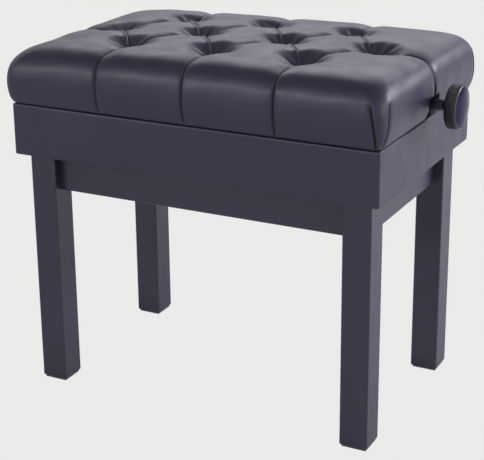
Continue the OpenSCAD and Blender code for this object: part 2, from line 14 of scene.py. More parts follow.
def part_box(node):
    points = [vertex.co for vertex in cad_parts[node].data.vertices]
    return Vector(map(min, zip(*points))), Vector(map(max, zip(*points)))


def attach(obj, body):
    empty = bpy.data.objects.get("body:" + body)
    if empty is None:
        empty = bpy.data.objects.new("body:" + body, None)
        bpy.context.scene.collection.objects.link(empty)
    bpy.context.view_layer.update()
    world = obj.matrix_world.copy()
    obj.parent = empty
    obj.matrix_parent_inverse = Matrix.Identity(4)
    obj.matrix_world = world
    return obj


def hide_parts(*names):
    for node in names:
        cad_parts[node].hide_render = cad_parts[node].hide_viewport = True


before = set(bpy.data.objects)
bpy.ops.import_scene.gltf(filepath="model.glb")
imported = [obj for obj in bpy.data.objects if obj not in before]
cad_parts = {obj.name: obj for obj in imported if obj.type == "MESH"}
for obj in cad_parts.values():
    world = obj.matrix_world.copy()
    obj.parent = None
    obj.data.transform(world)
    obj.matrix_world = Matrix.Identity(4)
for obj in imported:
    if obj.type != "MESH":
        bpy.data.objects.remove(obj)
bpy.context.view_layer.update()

MM = 0.001
PALE = (0.831, 0.831, 0.815, 1.0)  # the studio's floor and walls, as the camera sees them


# ---- Material helpers ----


def new_material(name, **inputs):
    """A material with one Principled shader, and that shader's constant inputs set."""
    material = bpy.data.materials.new(name)
    material.use_nodes = True
    shader = material.node_tree.nodes["Principled BSDF"]
    for key, value in inputs.items():
        shader.inputs[key.replace("_", " ")].default_value = value
    return material, shader


def add_node(material, kind, **values):
    """A new shader node; a value whose name is an input's sets that input."""
    node = material.node_tree.nodes.new(kind)
    for key, value in values.items():
        if hasattr(node, key):
            setattr(node, key, value)
        else:
            node.inputs[key.replace("_", " ")].default_value = value
    return node


def link(material, source, target):
    material.node_tree.links.new(source, target)


def object_space(material, stretch=(1, 1, 1)):
    """Object coordinates, each axis multiplied by stretch."""
    coordinates = add_node(material, "ShaderNodeTexCoord")
    mapping = add_node(material, "ShaderNodeMapping", Scale=stretch)
    link(material, coordinates.outputs["Object"], mapping.inputs["Vector"])
    return mapping.outputs["Vector"]


def noise(material, vector, scale, detail=3.0, roughness=0.5):
    node = add_node(
        material, "ShaderNodeTexNoise", Scale=scale, Detail=detail, Roughness=roughness
    )
    link(material, vector, node.inputs["Vector"])
    return node.outputs["Fac"]


def cells(material, vector, scale):
    node = add_node(material, "ShaderNodeTexVoronoi", Scale=scale)
    link(material, vector, node.inputs["Vector"])
    return node.outputs["Distance"]


def fill_ramp(node, stops):
    """Sets a colour ramp's stops, each (position, colour), in rising order."""
    elements = node.color_ramp.elements
    while len(elements) < len(stops):
        elements.new(0.5)
    for element, (position, colour) in zip(elements, stops):
        element.position = position
        element.color = (*colour, 1.0)


def ramp(material, factor, stops):
    """A colour ramp through stops, each (position, colour)."""
    node = add_node(material, "ShaderNodeValToRGB")
    fill_ramp(node, stops)
    link(material, factor, node.inputs["Fac"])
    return node.outputs["Color"]


def spread(material, factor, low, high):
    """Maps a noise from its usual range, 0.3 to 0.7, onto low to high."""
    node = add_node(
        material,
        "ShaderNodeMapRange",
        From_Min=0.3,
        From_Max=0.7,
        To_Min=low,
        To_Max=high,
    )
    link(material, factor, node.inputs["Value"])
    return node.outputs["Result"]


def combine(material, operation, a, b):
    """Math node of two inputs, each a socket or a number."""
    node = add_node(material, "ShaderNodeMath", operation=operation)
    for socket, value in zip(node.inputs, (a, b)):
        if isinstance(value, (int, float)):
            socket.default_value = value
        else:
            link(material, value, socket)
    return node.outputs["Value"]


def darken(material, colour, amount):
    """colour times one minus amount."""
    node = add_node(material, "ShaderNodeMix", data_type="RGBA", blend_type="MULTIPLY")
    node.inputs["Factor"].default_value = 1.0
    shade = add_node(material, "ShaderNodeCombineColor")
    light = combine(material, "SUBTRACT", 1.0, amount)
    for channel in ("Red", "Green", "Blue"):
        link(material, light, shade.inputs[channel])
    link(material, colour, node.inputs[6])
    link(material, shade.outputs["Color"], node.inputs[7])
    return node.outputs[2]


def bump(material, shader, layers):
    """Chains bump nodes, each layer (height, distance, strength), into the shader."""
    previous = None
    for height, distance, strength in layers:
        node = add_node(material, "ShaderNodeBump", Distance=distance, Strength=strength)
        link(material, height, node.inputs["Height"])
        if previous is not None:
            link(material, previous, node.inputs["Normal"])
        previous = node.outputs["Normal"]
    link(material, previous, shader.inputs["Normal"])


def attribute(material, name):
    return add_node(material, "ShaderNodeAttribute", attribute_name=name).outputs["Fac"]


# ---- Materials ----


def leather_material(name, sewn):
    """Smooth semi-matt leather. A sewn piece darkens where its attribute says: the seams' own
    dark lines, with painted shade in their grooves and in the openings round the screw.
    """
    material, shader = new_material(name, IOR=1.5, Specular_IOR_Level=0.5)
    where = object_space(material)
    clouds = noise(material, where, 9.0, 4.0)
    colour = ramp(
        material,
        clouds,
        [(0.3, (0.0145, 0.0138, 0.0320)), (0.7, (0.0190, 0.0181, 0.0405))],
    )
    roughness = spread(material, noise(material, where, 34.0, 3.0), 0.40, 0.47)
    if sewn:
        line = attribute(material, "seam_and_painted_shade")
        # Darkens the seam lines and paints the shade of their grooves and of the screw
        # openings
        colour = darken(material, colour, combine(material, "MULTIPLY", line, 0.85))
        roughness = combine(
            material, "ADD", roughness, combine(material, "MULTIPLY", line, 0.4)
        )
    link(material, colour, shader.inputs["Base Color"])
    link(material, roughness, shader.inputs["Roughness"])
    pebbles = cells(material, where, 900.0)
    pores = noise(material, where, 2200.0, 2.0)
    soft = noise(material, where, 60.0, 2.0)
    bump(
        material,
        shader,
        [(soft, 0.4 * MM, 0.25), (pebbles, 0.12 * MM, 0.35), (pores, 0.05 * MM, 0.4)],
    )
    return material


def grain_stretch(along, amount):
    """Scales that draw a texture out along one axis."""
    return [amount if axis == along else 1.0 for axis in "xyz"]


def lacquer_material(name, along):
    """Satin lacquer over wood, with the grain just telling along one axis."""
    material, shader = new_material(name, IOR=1.5, Coat_Weight=0.15, Coat_Roughness=0.25)
    grained = object_space(material, grain_stretch(along, 0.06))
    grain = noise(material, grained, 420.0, 3.0, 0.6)
    where = object_space(material)
    clouds = noise(material, where, 14.0, 3.0)
    colour = ramp(
        material,
        clouds,
        [(0.3, (0.0132, 0.0125, 0.0285)), (0.7, (0.0170, 0.0160, 0.0350))],
    )
    link(material, colour, shader.inputs["Base Color"])
    roughness = spread(material, grain, 0.36, 0.46)
    link(material, roughness, shader.inputs["Roughness"])
    peel = noise(material, where, 240.0, 1.0)
    bump(material, shader, [(grain, 0.06 * MM, 0.3), (peel, 0.05 * MM, 0.25)])
    return material


def wood_material(name, along):
    """Unfinished pale wood with streaks along one axis."""
    material, shader = new_material(name, IOR=1.45)
    where = object_space(material, grain_stretch(along, 0.05))
    streaks = noise(material, where, 130.0, 5.0, 0.62)
    colour = ramp(
        material,
        streaks,
        [
            (0.25, (0.42, 0.27, 0.14)),
            (0.5, (0.56, 0.39, 0.22)),
            (0.8, (0.66, 0.49, 0.31)),
        ],
    )
    link(material, colour, shader.inputs["Base Color"])
    link(material, spread(material, streaks, 0.55, 0.75), shader.inputs["Roughness"])
    fibres = noise(material, where, 900.0, 2.0)
    bump(material, shader, [(streaks, 0.15 * MM, 0.4), (fibres, 0.08 * MM, 0.5)])
    return material


def steel_material(name, light, dark, roughness, metallic):
    """Steel, plated or painted: light and dark are its colours, clouded together."""
    material, shader = new_material(name, Metallic=metallic, IOR=1.5)
    where = object_space(material)
    clouds = noise(material, where, 70.0, 4.0)
    colour = ramp(material, clouds, [(0.3, dark), (0.7, light)])
    link(material, colour, shader.inputs["Base Color"])
    spots = noise(material, where, 380.0, 2.0)
    link(
        material,
        spread(material, spots, roughness - 0.06, roughness + 0.08),
        shader.inputs["Roughness"],
    )
    bump(material, shader, [(noise(material, where, 1500.0, 2.0), 0.03 * MM, 0.4)])
    return material


def plastic_material(name, colour, roughness, ior):
    """Moulded plastic with a faint cloudiness and fine texture."""
    material, shader = new_material(name, IOR=ior)
    where = object_space(material)
    clouds = noise(material, where, 120.0, 3.0)
    lighter = tuple(1.3 * c for c in colour)
    link(
        material,
        ramp(material, clouds, [(0.3, colour), (0.75, lighter)]),
        shader.inputs["Base Color"],
    )
    link(
        material,
        spread(material, clouds, roughness - 0.04, roughness + 0.05),
        shader.inputs["Roughness"],
    )
    bump(material, shader, [(noise(material, where, 1800.0, 2.0), 0.02 * MM, 0.3)])
    return material


def felt_material(name):
    """Pressed felt: fuzzy, with a soft sheen."""
    material, shader = new_material(name, Sheen_Weight=0.5, Sheen_Roughness=0.6)
    where = object_space(material)
    fuzz = noise(material, where, 1400.0, 4.0, 0.7)
    colour = ramp(
        material, fuzz, [(0.3, (0.010, 0.010, 0.011)), (0.7, (0.03, 0.03, 0.032))]
    )
    link(material, colour, shader.inputs["Base Color"])
    link(material, spread(material, fuzz, 0.85, 1.0), shader.inputs["Roughness"])
    bump(material, shader, [(fuzz, 0.3 * MM, 0.7)])
    return material


LEATHER_SEAMS_AND_PAINTED_SHADE = leather_material("leather_seams_and_painted_shade", True)
LEATHER_PLAIN = leather_material("leather_plain", False)
LACQUER = {axis: lacquer_material("lacquer_" + axis, axis) for axis in "xyz"}
WOOD = {axis: wood_material("bare_wood_" + axis, axis) for axis in "xyz"}
ZINC = steel_material("zinc", (0.66, 0.67, 0.69), (0.52, 0.53, 0.56), 0.34, 1.0)
BLACK_STEEL = steel_material(
    "black_steel", (0.016, 0.016, 0.019), (0.009, 0.009, 0.011), 0.36, 0.0
)
SCREW_STEEL = steel_material(
    "screw_steel", (0.075, 0.075, 0.08), (0.04, 0.04, 0.045), 0.25, 0.7
)
BLACK_PLASTIC = plastic_material("black_plastic", (0.006, 0.006, 0.007), 0.2, 1.6)
KNOB_FACE = plastic_material("knob_face", (0.005, 0.0035, 0.026), 0.12, 1.12)
NYLON = plastic_material("nylon", (0.52, 0.49, 0.40), 0.45, 1.5)
FELT = felt_material("felt")


# ---- Mesh helpers ----


def mesh_piece(name, points, faces, material, body):
    """A smooth-shaded mesh object riding on a CAD body."""
    mesh = bpy.data.meshes.new(name)
    mesh.from_pydata([tuple(p) for p in points], [], faces)
    mesh.validate()
    mesh.shade_smooth()
    piece = bpy.data.objects.new(name, mesh)
    bpy.context.scene.collection.objects.link(piece)
    piece.data.materials.append(material)
    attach(piece, body)
    return piece


def loop_faces(rings, around, start=0):
    """Quads between successive rings of around points each, numbered from start."""
    faces = []
    for ring in range(rings - 1):
        base = start + ring * around
        for i in range(around):
            j = (i + 1) % around
            faces.append((base + i, base + j, base + around + j, base + around + i))
    return faces


def flipped(faces):
    """The same faces seen from their other side."""
    return [tuple(reversed(face)) for face in faces]


def capped_tube(rings, around):
    """Quads between rings, and a cap on the first and the last ring."""
    last = (rings - 1) * around
    caps = [tuple(reversed(range(around))), tuple(range(last, last + around))]
    return loop_faces(rings, around) + caps


def smooth_curve(points, step):
    """Points step apart along a smooth curve through the given ones (Catmull-Rom)."""
    points = np.array(points, float)
    ends = np.vstack([2 * points[0] - points[1], points, 2 * points[-1] - points[-2]])
    t = np.linspace(0, 1, 24, endpoint=False)[:, None]
    fine = []
    for a, b, c, d in zip(ends, ends[1:], ends[2:], ends[3:]):
        fine.append(
            0.5
            * (
                2 * b
                + (c - a) * t
                + (2 * a - 5 * b + 4 * c - d) * t**2
                + (3 * b - a - 3 * c + d) * t**3
            )
        )
    fine = np.vstack([*fine, points[-1:]])
    steps = np.linalg.norm(np.diff(fine[:, :2], axis=0), axis=1)
    along = np.concatenate([[0], np.cumsum(steps)])
    at = np.linspace(0, along[-1], max(2, round(along[-1] / step) + 1))
    return np.stack([np.interp(at, along, fine[:, k]) for k in range(fine.shape[1])], axis=1)


def waves(points, scale, seed):
    """Smooth noise about 1 high: a few sine waves in fixed but uneven directions."""
    random = np.random.default_rng(seed)
    total = np.zeros(len(points))
    for _ in range(7):
        direction = random.normal(size=3)
        direction /= np.linalg.norm(direction)
        length = scale * random.uniform(0.6, 1.6)
        phase = random.uniform(0, 2 * math.pi)
        total += np.sin(points @ direction * 2 * math.pi / length + phase)
    return total / 2.6


def blend_step(value, low, high):
    """0 below low, 1 above high, smooth between; low may be the larger."""
    t = np.clip((value - low) / (high - low), 0, 1)
    return t * t * (3 - 2 * t)


def valley(distance, width):
    """1 on a crease, falling to 0 at width from it, sharpest on the crease."""
    return np.clip(1 - np.abs(distance) / width, 0, 1) ** 2


# ---- Grid that covers a rounded rectangle, and rings round it ----


class Side:
    """Steps along one side: straight places w between -half and half, then quarter arcs q."""

    def __init__(self, straight, keep, keep_steps, end_steps, arc_steps):
        inner = np.linspace(0, keep, keep_steps + 1)
        outer = np.linspace(keep, straight, end_steps + 1)[1:]
        positive = np.concatenate([inner, outer])
        arcs = np.linspace(0, 1, arc_steps + 1)[1:]
        w = np.concatenate([-positive[:0:-1], positive])
        end = np.full(arc_steps, straight)
        self.w = np.concatenate([-end, w, end])
        self.q = np.concatenate([-arcs[::-1], np.zeros(len(w)), arcs])
        self.straight = straight
        self.keep = keep
        self.count = len(self.w)

    def place(self, straight):
        """The straight places stretched to another half length, the middle ones kept."""
        beyond = np.clip(np.abs(self.w) - self.keep, 0, None)
        share = (straight - self.keep) / (self.straight - self.keep)
        return np.sign(self.w) * (np.minimum(np.abs(self.w), self.keep) + beyond * share)


def ring_points(long_side, short_side, half_x, half_y, radius):
    """X and Y round a rounded rectangle: front, right, back, left, in the grid's order."""
    angle_x = long_side.q * math.pi / 4
    angle_y = short_side.q * math.pi / 4
    x = long_side.place(half_x - radius) + radius * np.sin(angle_x)
    front = -(half_y - radius) - radius * np.cos(angle_x)
    y = short_side.place(half_y - radius) + radius * np.sin(angle_y)
    right = (half_x - radius) + radius * np.cos(angle_y)
    return np.concatenate(
        [
            np.stack([x[:-1], front[:-1]], axis=1),
            np.stack([right[:-1], y[:-1]], axis=1),
            np.stack([x[:0:-1], -front[:0:-1]], axis=1),
            np.stack([-right[:0:-1], y[:0:-1]], axis=1),
        ]
    )


def grid_points(long_side, short_side, radius):
    """X and Y of the grid inside the first ring, its corners drawn in to the arcs."""
    wx, wy = np.meshgrid(long_side.w, short_side.w)
    qx, qy = np.meshgrid(long_side.q, short_side.q)
    p, q = np.abs(qx), np.abs(qy)
    reach = np.maximum(p, q)
    smaller = np.minimum(p, q) / np.maximum(reach, 1e-9)
    angle = smaller * math.pi / 4
    nearer_x = p >= q
    out_x = reach * np.where(nearer_x, np.cos(angle), np.sin(angle))
    out_y = reach * np.where(nearer_x, np.sin(angle), np.cos(angle))
    return wx + np.sign(qx) * out_x * radius, wy + np.sign(qy) * out_y * radius


def border_order(columns, rows):
    """Indices of a row-major grid's border in the order of ring_points."""
    last = rows - 1
    front = list(range(columns - 1))
    right = [j * columns + columns - 1 for j in range(last)]
    back = [last * columns + i for i in range(columns - 1, 0, -1)]
    left = [j * columns for j in range(last, 0, -1)]
    return front + right + back + left


def corner_distance(x, y, half_x, half_y, radius):
    """Distance along a ring from the middle of its nearest corner."""
    dx = np.abs(x) - (half_x - radius)
    dy = np.abs(y) - (half_y - radius)
    on_arc = (dx > 0) & (dy > 0)
    turn = np.arctan2(np.maximum(dy, 0), np.maximum(dx, 0))
    arc = radius * np.abs(turn - math.pi / 4)
    straight = radius * math.pi / 4 - np.minimum(dx, dy)
    return np.where(on_arc, arc, straight)


# ---- Cushion ----

skirt_lo, skirt_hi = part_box("skirt_cover")
cover_lo, cover_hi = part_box("cushion_cover")
ties_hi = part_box("tuft_ties")[1]
TIE_RADIUS = 1 * MM  # of the ties in the CAD part
HALF_L = skirt_hi.x
HALF_W = skirt_hi.y
BOTTOM = cover_lo.z
TUFT_X = ties_hi.x - TIE_RADIUS
TUFT_Y = ties_hi.y - TIE_RADIUS
PITCH = 2 * TUFT_X / 3
TUFT_DEEP = cover_hi.z - ties_hi.z

# Levels of the cushion's side from the top's border down, in millimetres:
# outset from the skirt's faces, height above the cushion's foot, corner radius
SIDE_LEVELS = [
    (-48, 87.5, 36),
    (-36, 86.9, 33),
    (-24, 85.8, 30),
    (-14, 83.6, 28),
    (-6, 79.8, 26),
    (0, 74.4, 25),
    (4.6, 67.2, 24),
    (7.6, 58.6, 23),
    (9.4, 45.0, 21),
    (9.1, 29.0, 18),
    (6.3, 14.0, 13),
    (2.2, 4.5, 9),
    (-1.5, 0.9, 7),
    (-4.6, 0.5, 6),
]
CROWN_RISE = 3.0 * MM
CROWN_REACH = 25 * MM
PIT_WIDE = 49 * MM
PIT_FLAT = 3 * MM
PIT_POWER = 1.1
PIT_STRETCH = 1.15  # how much narrower a pit is front to back
FOLD_END = 14 * MM  # how fast a fold shallows away from a tuft
FOLD_END_SHARE = 0.42  # of the pit's extra depth, reached at a tuft
FOLD_DEEP = 3.4 * MM
FOLD_WIDE = 17 * MM
PLEAT_DEEP = 2.4 * MM
PLEAT_WIDE = 26 * MM
SEAM_DEEP = 2.0 * MM
SEAM_START = (14 * MM, 26 * MM)  # way along an edge seam over which it begins
DART_ANGLE = math.radians(38)
SEAM_WIDE = 2.8 * MM
SEAM_LINE = (1.5 * MM, 0.4 * MM)  # away from a seam, where its dark line ends and is full: the seam's own line with painted shade of its groove
# The soft valley that an edge seam lies in: deepest at its tuft and at the shoulder
CHANNEL_DEEP = 1.5 * MM
TUFT_END_SHARE = 0.5  # of the pit's depth, added at the tuft's end
TUFT_END_PLACE = 12 * MM
TUFT_END_FADE = 13 * MM
SHOULDER_DEEP = 2.6 * MM
SHOULDER_PLACE = 62 * MM
SHOULDER_REACH = 30 * MM
CHANNEL_PLACES = [20 * MM, 70 * MM, 130 * MM]  # ways along, with the widths there
CHANNEL_WIDTHS = [30 * MM, 26 * MM, 15 * MM]
# Across a sewn pleat: the raised fold on one side, the groove and the stitches on the other;
# the stitches' dark line also paints the groove's shade
RIDGE_HIGH = 2.1 * MM
RIDGE_PLACE = -1.9 * MM
RIDGE_WIDE = 1.9 * MM
GROOVE_DEEP = 1.0 * MM
GROOVE_PLACE = 1.4 * MM
GROOVE_WIDE = 1.3 * MM
STITCH_PLACE = 1.3 * MM
STITCH_LINE = (1.3 * MM, 0.3 * MM)
STITCH_AND_GROOVE_SHADE = 0.8
PLEAT_END = 10 * MM
WRINKLE_HIGH = 0.6 * MM
RIGHT_WRINKLE_HIGH = 1.25 * MM
WRINKLE_REACH = 11 * MM
DART_DEEP = 3.0 * MM
DART_WIDE = 3.8 * MM
DART_HOLLOW_DEEP = 1.2 * MM
DART_HOLLOW_WIDE = 12 * MM
# Dark line of a dart: its seam, with painted shade in its cut
DART_LINE = (2.5 * MM, 0.8 * MM)
POCKET_TOP = 33 * MM
POCKET_DEEP = 10 * MM
# Painted shade inside the opening that the screw comes out of
POCKET_PAINTED_SHADE = 0.9
LEFT_SAG = 6 * MM
LEFT_SHOULDER_SAG = 3.5 * MM


def tuft_places():
    """Middles of the tufts by row: three in front, four, and three at the back."""
    outer = [-PITCH, 0.0, PITCH]
    middle = [-TUFT_X, -PITCH / 2, PITCH / 2, TUFT_X]
    return (
        [(x, -TUFT_Y) for x in outer],
        [(x, 0.0) for x in middle],
        [(x, TUFT_Y) for x in outer],
    )


def diagonal_folds():
    """Folds between neighbouring tufts: (left end, right end, whether it is a sewn pleat)."""
    front, middle, back = tuft_places()
    folds = []
    for i in range(3):
        folds.append((middle[i], front[i], True))
        folds.append((front[i], middle[i + 1], False))
        folds.append((middle[i], back[i], False))
        folds.append((back[i], middle[i + 1], True))
    return folds


def segment_distance(x, y, start, end):
    """Signed distance from a segment, and the distances along it from either end."""
    sx, sy = start
    ex, ey = end
    length = math.hypot(ex - sx, ey - sy)
    ux, uy = (ex - sx) / length, (ey - sy) / length
    along = (x - sx) * ux + (y - sy) * uy
    across = (y - sy) * ux - (x - sx) * uy
    over = np.maximum(0, np.maximum(-along, along - length))
    distance = np.sign(across) * np.hypot(across, over)
    return distance, np.clip(along, 0, None), np.clip(length - along, 0, None)


def top_creases(x, y):
    """How far the tufts and the folds between them pull the leather in."""
    parts = []
    for row in tuft_places():
        for tx, ty in row:
            r = np.hypot(x - tx, PIT_STRETCH * (y - ty))
            shape = blend_step(r, PIT_WIDE, PIT_FLAT) ** PIT_POWER
            parts.append((TUFT_DEEP - left_sag(x)) * shape)
    for start, end, pleat in diagonal_folds():
        distance, from_start, from_end = segment_distance(x, y, start, end)
        near = np.exp(-from_start / FOLD_END) + np.exp(-from_end / FOLD_END)
        deep, wide = (PLEAT_DEEP, PLEAT_WIDE) if pleat else (FOLD_DEEP, FOLD_WIDE)
        depth = deep + FOLD_END_SHARE * (TUFT_DEEP - deep) * near
        parts.append(depth * valley(distance, wide))
    return soft_maximum(parts)


def left_sag(x):
    """How much lower the used cushion stands towards its left end, and on its shoulder."""
    shoulder = LEFT_SHOULDER_SAG * blend_step(x, -190 * MM, -272 * MM)
    return LEFT_SAG * blend_step(x, 40 * MM, -300 * MM) + shoulder


def soft_maximum(parts, power=3.5):
    """The largest of several depths, rounded where two meet."""
    total = sum(np.maximum(part, 0) ** power for part in parts)
    return total ** (1 / power)


def edge_seams(x, y, z):
    """Distance from the seams that run out over the edges, and the way along them."""
    drop = cover_hi.z - z
    found = []
    for sign in (-1, 1):
        for tx in (-PITCH, 0.0, PITCH):
            out = sign * y - TUFT_Y
            distance = np.where(out > 0, x - tx, np.sign(x - tx) * np.hypot(x - tx, out))
            found.append((distance, np.clip(out, 0, None) + drop))
        out = sign * x - TUFT_X
        distance = np.where(out > 0, y, np.sign(y) * np.hypot(y, out))
        found.append((distance, np.clip(out, 0, None) + drop))
    return found


def pleats(x, y):
    """Raised folds along the sewn diagonals, and how dark their stitched line is, with
    painted shade of the groove beside it.
    """
    height = np.zeros_like(x)
    dark = np.zeros_like(x)
    for start, end, pleat in diagonal_folds():
        if pleat:
            distance, from_start, from_end = segment_distance(x, y, start, end)
            ends = blend_step(np.minimum(from_start, from_end), 0, PLEAT_END)
            ridge = np.exp(-(((distance - RIDGE_PLACE) / RIDGE_WIDE) ** 2))
            groove = np.exp(-(((distance - GROOVE_PLACE) / GROOVE_WIDE) ** 2))
            height += ends * (RIDGE_HIGH * ridge - GROOVE_DEEP * groove)
            side = np.abs(distance - STITCH_PLACE)
            # Dark stitch line, painting the groove's shade as well
            dark = np.maximum(dark, STITCH_AND_GROOVE_SHADE * ends * blend_step(side, *STITCH_LINE))
    return height, dark


def tuft_wrinkles(x, y):
    """Small creases that run in to each tuft, strongest at the right-hand middle one."""
    total = np.zeros_like(x)
    seed = np.random.default_rng(7)
    for row in tuft_places():
        for tx, ty in row:
            r = np.hypot(x - tx, y - ty)
            turn = np.arctan2(y - ty, x - tx)
            high = RIGHT_WRINKLE_HIGH if tx == TUFT_X else WRINKLE_HIGH
            folds = np.sin(9 * turn + seed.uniform(0, 6) + 18 * r)
            folds += 0.6 * np.sin(14 * turn + seed.uniform(0, 6))
            share = r / WRINKLE_REACH
            reach = share * np.exp(1 - share) * blend_step(r, 48 * MM, 24 * MM)
            total += high * folds * reach
    return total


def build_cushion():
    """The tufted cushion as one closed form: crowned top, rolled sides, hollow foot."""
    radius = SIDE_LEVELS[0][2] * MM
    inner_x = HALF_L + SIDE_LEVELS[0][0] * MM
    inner_y = HALF_W + SIDE_LEVELS[0][0] * MM
    long_side = Side(inner_x - radius, PITCH, 84, 58, 13)
    short_side = Side(inner_y - radius, 0.0, 0, 58, 13)
    gx, gy = grid_points(long_side, short_side, radius)
    span_x = (long_side.w + long_side.q * radius) / inner_x
    span_y = (short_side.w + short_side.q * radius) / inner_y
    rise_x = 1 - np.exp(-(1 - np.abs(span_x)) * inner_x / CROWN_REACH)
    rise_y = 1 - np.exp(-(1 - np.abs(span_y)) * inner_y / CROWN_REACH)
    gz = BOTTOM + SIDE_LEVELS[0][1] * MM + CROWN_RISE * np.outer(rise_y, rise_x)
    points = [np.stack([gx.ravel(), gy.ravel(), gz.ravel()], axis=1)]
    levels = smooth_curve(np.array(SIDE_LEVELS) * MM, 1.9 * MM)
    around = 2 * (long_side.count + short_side.count - 2)
    corner = [np.full(gx.size, 1.0)]
    for outset, height, r in levels[1:]:
        half_x, half_y = HALF_L + outset, HALF_W + outset
        ring = ring_points(long_side, short_side, half_x, half_y, r)
        points.append(np.column_stack([ring, np.full(around, BOTTOM + height)]))
        from_corner = corner_distance(*ring.T, half_x, half_y, r)
        corner.append(from_corner - r * DART_ANGLE)
    outside = sum(len(p) for p in points)
    board_lo, board_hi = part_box("seat_board")
    gap = 0.3 * MM
    seat_r = 5 * MM
    for height in (BOTTOM + 0.5 * MM, board_lo.z, board_hi.z + gap):
        ring = ring_points(long_side, short_side, board_hi.x + gap, board_hi.y + gap, seat_r)
        points.append(np.column_stack([ring, np.full(around, height)]))
    points = np.vstack(points)
    faces = cushion_faces(long_side.count, short_side.count, around, len(points))
    cushion = mesh_piece("cushion", points, faces, LEATHER_SEAMS_AND_PAINTED_SHADE, "seat")
    shape_cushion(cushion, points, outside, np.concatenate(corner))
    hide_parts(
        "cushion_cover", "foam_top", "foam_front", "foam_back", "foam_left", "foam_right"
    )


def cushion_faces(columns, rows, around, total):
    """Top grid, the rings hung from its border, and the cap of the hollow foot."""
    faces = []
    for j in range(rows - 1):
        for i in range(columns - 1):
            a = j * columns + i
            faces.append((a, a + 1, a + columns + 1, a + columns))
    border = border_order(columns, rows)
    first = columns * rows
    for i in range(around):
        j = (i + 1) % around
        faces.append((border[j], border[i], first + i, first + j))
    rings = (total - first) // around
    faces += flipped(loop_faces(rings, around, first))
    faces.append(tuple(range(total - around, total)))
    return faces


def channel_depth(along):
    """Depth of the soft valley round an edge seam, by the way along the seam."""
    past_tuft = np.maximum(along - TUFT_END_PLACE, 0)
    tuft_end = TUFT_END_SHARE * TUFT_DEEP * np.exp(-past_tuft / TUFT_END_FADE)
    from_shoulder = (along - SHOULDER_PLACE) / SHOULDER_REACH
    return CHANNEL_DEEP + tuft_end + SHOULDER_DEEP * np.exp(-(from_shoulder**2))


def shape_cushion(cushion, points, outside, corner):
    """Pulls in the tufts, folds, seams, darts and the pockets round the screw.

    It also lowers the left end, marks the seam and stitch lines as dark with painted shade in
    their grooves, and paints shade into the pockets.
    """
    mesh = cushion.data
    normals = np.zeros(len(points) * 3)
    mesh.vertex_normals.foreach_get("vector", normals)
    normals = normals.reshape(-1, 3)[:outside]
    skin = points[:outside]
    x, y, z = skin.T
    height = z - BOTTOM
    move = -top_creases(x, y) * blend_step(height, 40 * MM, 70 * MM)
    lift, dark = pleats(x, y)
    on_top = blend_step(height, 66 * MM, 78 * MM)
    move += (lift + tuft_wrinkles(x, y)) * on_top
    dark = dark * on_top
    for distance, along in edge_seams(x, y, z):
        begun = blend_step(along, *SEAM_START)
        started = begun * blend_step(height, 1 * MM, 9 * MM)
        width = np.interp(along, CHANNEL_PLACES, CHANNEL_WIDTHS)
        move -= channel_depth(along) * valley(distance, width) * started
        move -= SEAM_DEEP * valley(distance, SEAM_WIDE) * started
        # The seam's own dark line, which also paints the shade in its groove
        line = begun * blend_step(np.abs(distance), *SEAM_LINE)
        dark = np.maximum(dark, line)
    darted = dart_weight(x, y, height)
    cut = DART_DEEP * valley(corner, DART_WIDE)
    hollow = DART_HOLLOW_DEEP * valley(corner, DART_HOLLOW_WIDE)
    move -= darted * (cut + hollow)
    # The dart's seam line, with painted shade in its cut
    dark = np.maximum(dark, darted * blend_step(np.abs(corner), *DART_LINE))
    pocket = pocket_weight(y, height) * (np.abs(x) > HALF_L - 6 * MM)
    soft = 0.45 * MM * waves(skin, 120 * MM, 3) + 0.22 * MM * waves(skin, 45 * MM, 4)
    move += soft * blend_step(height, 1 * MM, 12 * MM)
    shaped = points.copy()
    shaped[:outside] = skin + normals * move[:, None]
    shaped[:outside, 0] -= np.sign(x) * pocket * POCKET_DEEP
    shaped[:outside, 2] -= left_sag(x) * blend_step(height, 12 * MM, 80 * MM)
    mesh.vertices.foreach_set("co", shaped.ravel())
    # The pockets get painted shade on top of the seam lines
    mark_seam_and_painted_shade(mesh, np.maximum(dark, POCKET_PAINTED_SHADE * pocket))


def mark_seam_and_painted_shade(mesh, dark):
    """Writes how dark each point is, seam lines and painted shade; the points after the given
    ones are plain.
    """
    values = np.zeros(len(mesh.vertices), np.float32)
    values[: len(dark)] = dark
    line = mesh.attributes.new("seam_and_painted_shade", "FLOAT", "POINT")
    line.data.foreach_set("value", values)
    mesh.update()


def dart_weight(x, y, height):
    """Where the sewn darts show: every corner but the front left one, below the shoulder."""
    has_dart = (x > 0) | (y > 0)
    below = blend_step(height, 62 * MM, 54 * MM)
    return has_dart * below * blend_step(height, 1 * MM, 5 * MM)


def pocket_weight(y, height):
    """The opening in each end's leather that the screw comes out of."""
    across = blend_step(np.abs(y), 16 * MM, 12.5 * MM)
    under = blend_step(height, POCKET_TOP, POCKET_TOP - 4 * MM)
    return across * under * blend_step(height, 0, 1.5 * MM)


# ---- Skirt ----


